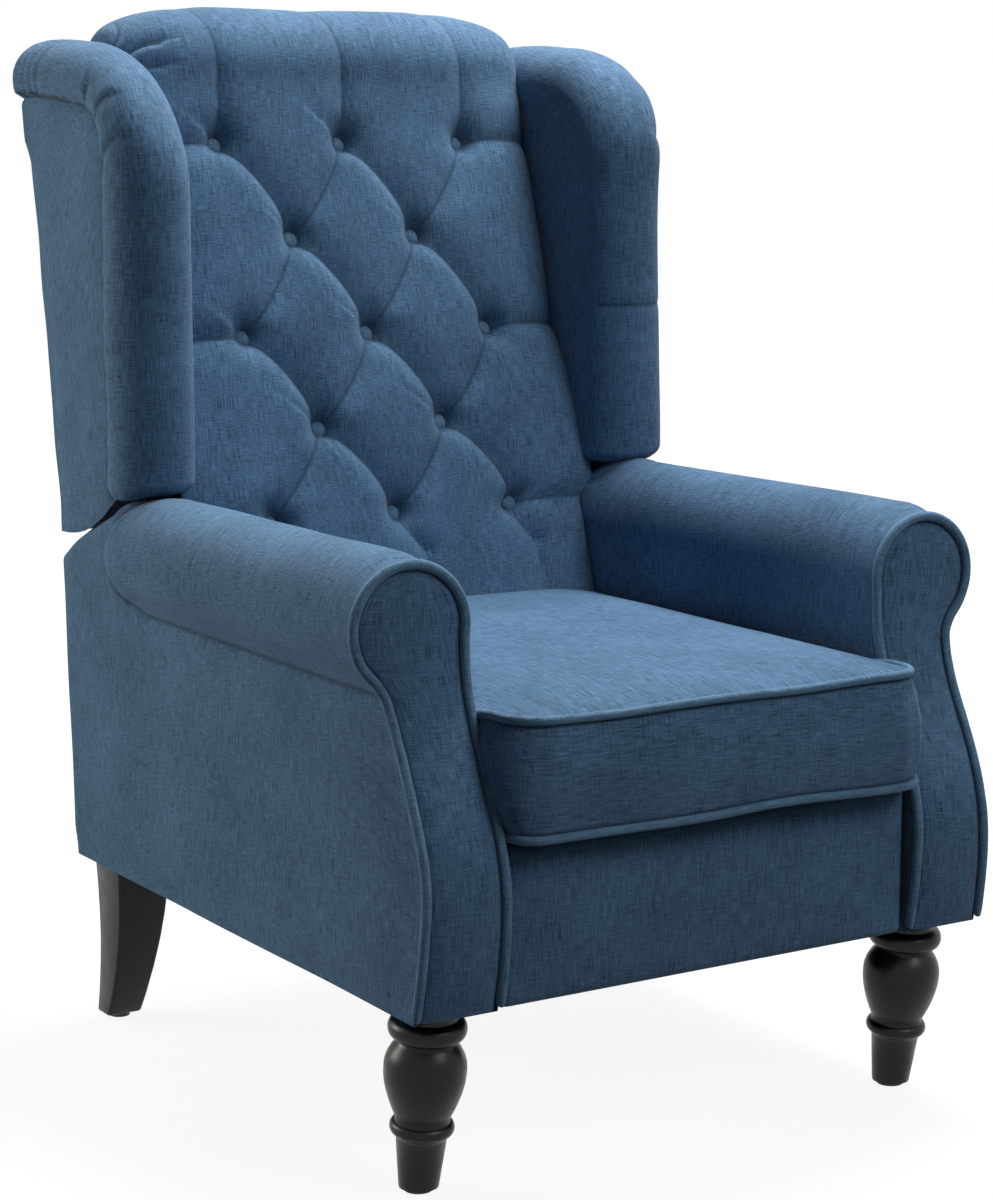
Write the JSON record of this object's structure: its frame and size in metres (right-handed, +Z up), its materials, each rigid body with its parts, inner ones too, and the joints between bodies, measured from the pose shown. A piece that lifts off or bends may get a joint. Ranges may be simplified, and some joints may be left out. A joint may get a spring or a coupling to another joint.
{
  "type": "recliner armchair",
  "caption": "Push-back wing recliner: rolled arms, button-tufted reclining back with wings, box seat cushion and a footrest panel that folds out, on turned and sabre legs.",
  "frame": {"origin": "on the floor, under the middle of the closed chair's footprint", "axes": "+Z up, -Y towards the front of the chair (the side one sits down from), +X to the right as seen from the front"},
  "size_m": [0.703, 0.8795, 1.079],
  "materials": {
    "upholstery": "linen-look weave, blue with darker slub threads",
    "leg_wood": "black satin lacquer",
    "frame_wood": "sawn plywood and softwood",
    "webbing": "woven elastic webbing",
    "glide": "nylon",
    "spring_steel": "oil-tempered",
    "mechanism_steel": "black powder coat",
    "zinc_steel": "zinc plated"
  },
  "bodies": {
    "base": {"left_arm": "upholstery", "right_arm": "upholstery", "left_arm_front": "upholstery", "right_arm_front": "upholstery", "left_arm_piping": "upholstery", "right_arm_piping": "upholstery", "rear_rail": "frame_wood", "rear_panel": "upholstery", "front_leg_left": "leg_wood", "front_leg_right": "leg_wood", "rear_leg_left": "leg_wood", "rear_leg_right": "leg_wood", "leg_bolts": "zinc_steel", "leg_glides": "glide", "base_plates": "mechanism_steel", "base_studs": "zinc_steel", "base_bolts": "zinc_steel"},
    "back": {"back_stiles": "frame_wood", "back_rails": "frame_wood", "back_webbing": "webbing", "back_pad": "upholstery", "back_cover": "upholstery", "left_wing": "upholstery", "right_wing": "upholstery", "back_buttons": "upholstery", "back_brackets": "mechanism_steel"},
    "seat": {"seat_side_rails": "frame_wood", "seat_cross_rails": "frame_wood", "seat_springs": "spring_steel", "seat_cushion": "upholstery", "seat_piping": "upholstery", "seat_plates": "mechanism_steel", "seat_studs": "zinc_steel", "seat_bolts": "zinc_steel"},
    "swing_link": {"swing_links": "mechanism_steel"},
    "rear_lift": {"rear_lift_links": "mechanism_steel", "rear_lift_studs": "zinc_steel"},
    "main_lift": {"main_lift_links": "mechanism_steel", "main_lift_studs": "zinc_steel", "cross_tube": "mechanism_steel"},
    "extension": {"extension_links": "mechanism_steel"},
    "guide": {"guide_links": "mechanism_steel"},
    "footrest": {"footrest_brackets": "mechanism_steel", "footrest_studs": "zinc_steel", "footrest_board": "frame_wood", "footrest_pad": "upholstery"}
  },
  "joints": [
    {"name": "back_recline", "type": "hinge", "parent": "base", "child": "back", "pos_m": [0, 0.181, 0.307], "axis": [-1, 0, 0], "range_deg": [0, 35]},
    {"name": "seat_carry", "type": "hinge", "parent": "back", "child": "seat", "pos_m": [0, 0.19576, 0.22329], "axis": [-1, 0, 0], "range_deg": [-35, 0]},
    {"name": "seat_swing", "type": "hinge", "parent": "base", "child": "swing_link", "pos_m": [0, 0.009, 0.29], "axis": [-1, 0, 0], "range_deg": [0, 35]},
    {"name": "rear_lift_turn", "type": "hinge", "parent": "seat", "child": "rear_lift", "pos_m": [0, -0.146, 0.294], "axis": [-1, 0, 0], "range_deg": [0, 86]},
    {"name": "main_lift_turn", "type": "hinge", "parent": "seat", "child": "main_lift", "pos_m": [0, -0.201, 0.294], "axis": [-1, 0, 0], "range_deg": [0, 86]},
    {"name": "extension_fold", "type": "hinge", "parent": "main_lift", "child": "extension", "pos_m": [0, -0.079, 0.1774], "axis": [-1, 0, 0], "range_deg": [-86, 0]},
    {"name": "guide_fold", "type": "hinge", "parent": "main_lift", "child": "guide", "pos_m": [0, -0.0687, 0.1492], "axis": [-1, 0, 0], "range_deg": [-86, 0]},
    {"name": "footrest_turn", "type": "hinge", "parent": "extension", "child": "footrest", "pos_m": [0, -0.343, 0.322], "axis": [-1, 0, 0], "range_deg": [0, 86]}
  ],
  "couplings": [
    {"joint": "seat_carry", "follows": "back_recline", "ratio": -1},
    {"joint": "seat_swing", "follows": "back_recline", "ratio": 1},
    {"joint": "rear_lift_turn", "follows": "back_recline", "ratio": 2.4571},
    {"joint": "main_lift_turn", "follows": "back_recline", "ratio": 2.4571},
    {"joint": "extension_fold", "follows": "back_recline", "ratio": -2.4571},
    {"joint": "guide_fold", "follows": "back_recline", "ratio": -2.4571},
    {"joint": "footrest_turn", "follows": "back_recline", "ratio": 2.4571}
  ]
}
